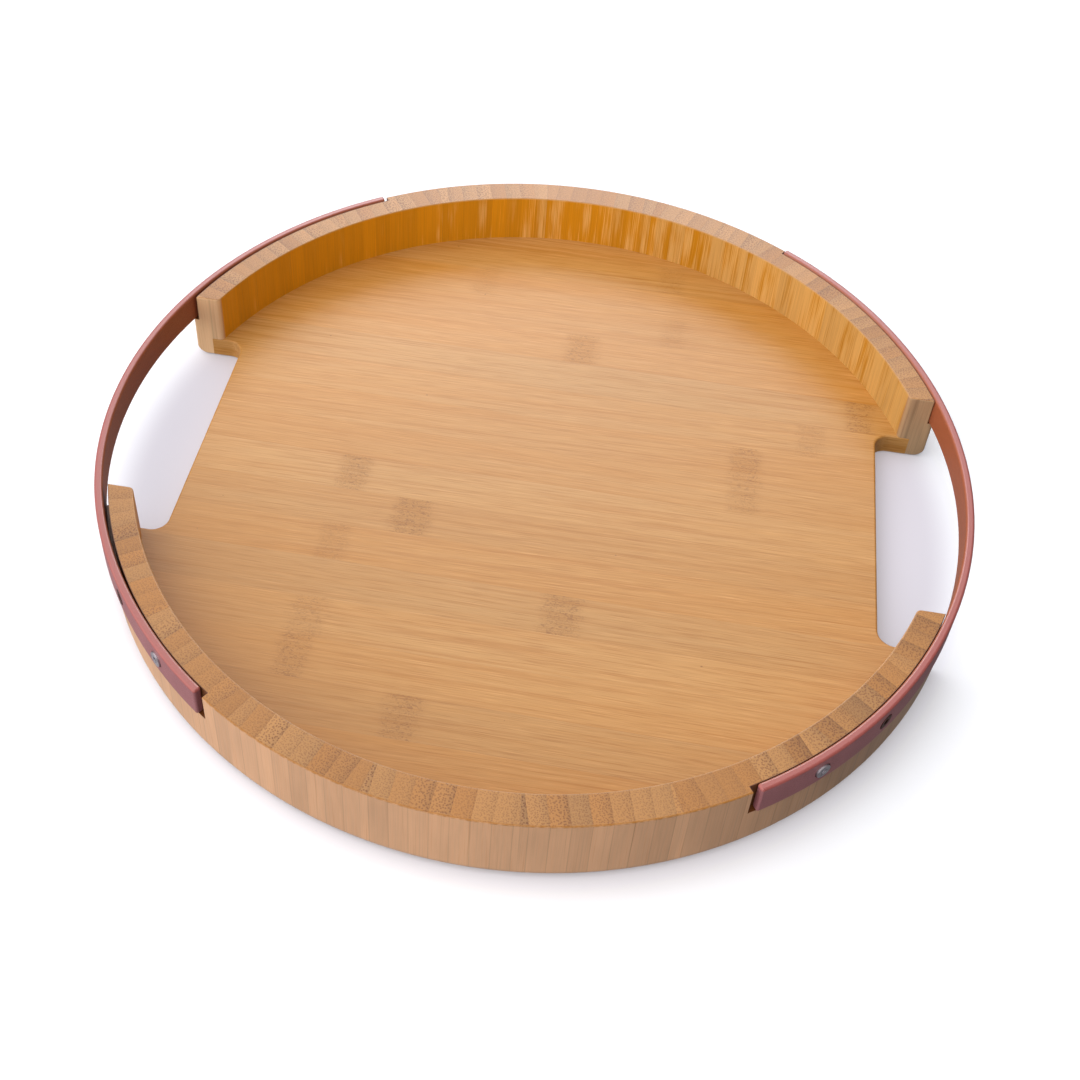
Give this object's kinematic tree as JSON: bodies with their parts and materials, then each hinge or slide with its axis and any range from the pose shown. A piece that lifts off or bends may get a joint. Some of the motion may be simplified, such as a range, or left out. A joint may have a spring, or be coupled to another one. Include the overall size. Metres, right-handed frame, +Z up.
{
  "type": "serving tray",
  "caption": "Round bamboo serving tray: a low upright rim round a flat floor, with two opposite finger notches bridged by leather strap handles.",
  "frame": {"origin": "middle of the underside, on the ring's axis and on the surface the tray stands on", "axes": "+Z up, +X towards the right-hand strap handle, +Y towards the back rail"},
  "size_m": [0.3758, 0.372, 0.0367],
  "materials": {
    "rim_bamboo": "oiled bamboo, upright grain, satin",
    "upper_bamboo": "oiled bamboo, flat grain, satin",
    "lower_bamboo": "oiled bamboo, flat grain, satin",
    "strap_leather": "smooth brick-red leather, satin",
    "screw_steel": "turned steel"
  },
  "bodies": {
    "root": {"back_rail_block_1": "rim_bamboo", "back_rail_block_2": "rim_bamboo", "back_rail_block_3": "rim_bamboo", "back_rail_block_4": "rim_bamboo", "back_rail_block_5": "rim_bamboo", "back_rail_block_6": "rim_bamboo", "back_rail_block_7": "rim_bamboo", "back_rail_block_8": "rim_bamboo", "back_rail_block_9": "rim_bamboo", "front_rail_block_1": "rim_bamboo", "front_rail_block_2": "rim_bamboo", "front_rail_block_3": "rim_bamboo", "front_rail_block_4": "rim_bamboo", "front_rail_block_5": "rim_bamboo", "front_rail_block_6": "rim_bamboo", "front_rail_block_7": "rim_bamboo", "front_rail_block_8": "rim_bamboo", "front_rail_block_9": "rim_bamboo", "left_strap": "strap_leather", "lower_floor_strip_01": "lower_bamboo", "lower_floor_strip_02": "lower_bamboo", "lower_floor_strip_03": "lower_bamboo", "lower_floor_strip_04": "lower_bamboo", "lower_floor_strip_05": "lower_bamboo", "lower_floor_strip_06": "lower_bamboo", "lower_floor_strip_07": "lower_bamboo", "lower_floor_strip_08": "lower_bamboo", "lower_floor_strip_09": "lower_bamboo", "lower_floor_strip_10": "lower_bamboo", "lower_floor_strip_11": "lower_bamboo", "lower_floor_strip_12": "lower_bamboo", "lower_floor_strip_13": "lower_bamboo", "lower_floor_strip_14": "lower_bamboo", "lower_floor_strip_15": "lower_bamboo", "lower_floor_strip_16": "lower_bamboo", "lower_floor_strip_17": "lower_bamboo", "lower_floor_strip_18": "lower_bamboo", "right_strap": "strap_leather", "strap_screws_inner": "screw_steel", "strap_screws_outer": "screw_steel", "upper_floor_strip_01": "upper_bamboo", "upper_floor_strip_02": "upper_bamboo", "upper_floor_strip_03": "upper_bamboo", "upper_floor_strip_04": "upper_bamboo", "upper_floor_strip_05": "upper_bamboo", "upper_floor_strip_06": "upper_bamboo", "upper_floor_strip_07": "upper_bamboo", "upper_floor_strip_08": "upper_bamboo", "upper_floor_strip_09": "upper_bamboo", "upper_floor_strip_10": "upper_bamboo", "upper_floor_strip_11": "upper_bamboo", "upper_floor_strip_12": "upper_bamboo", "upper_floor_strip_13": "upper_bamboo", "upper_floor_strip_14": "upper_bamboo", "upper_floor_strip_15": "upper_bamboo", "upper_floor_strip_16": "upper_bamboo", "upper_floor_strip_17": "upper_bamboo", "upper_floor_strip_18": "upper_bamboo"}
  },
  "joints": []
}
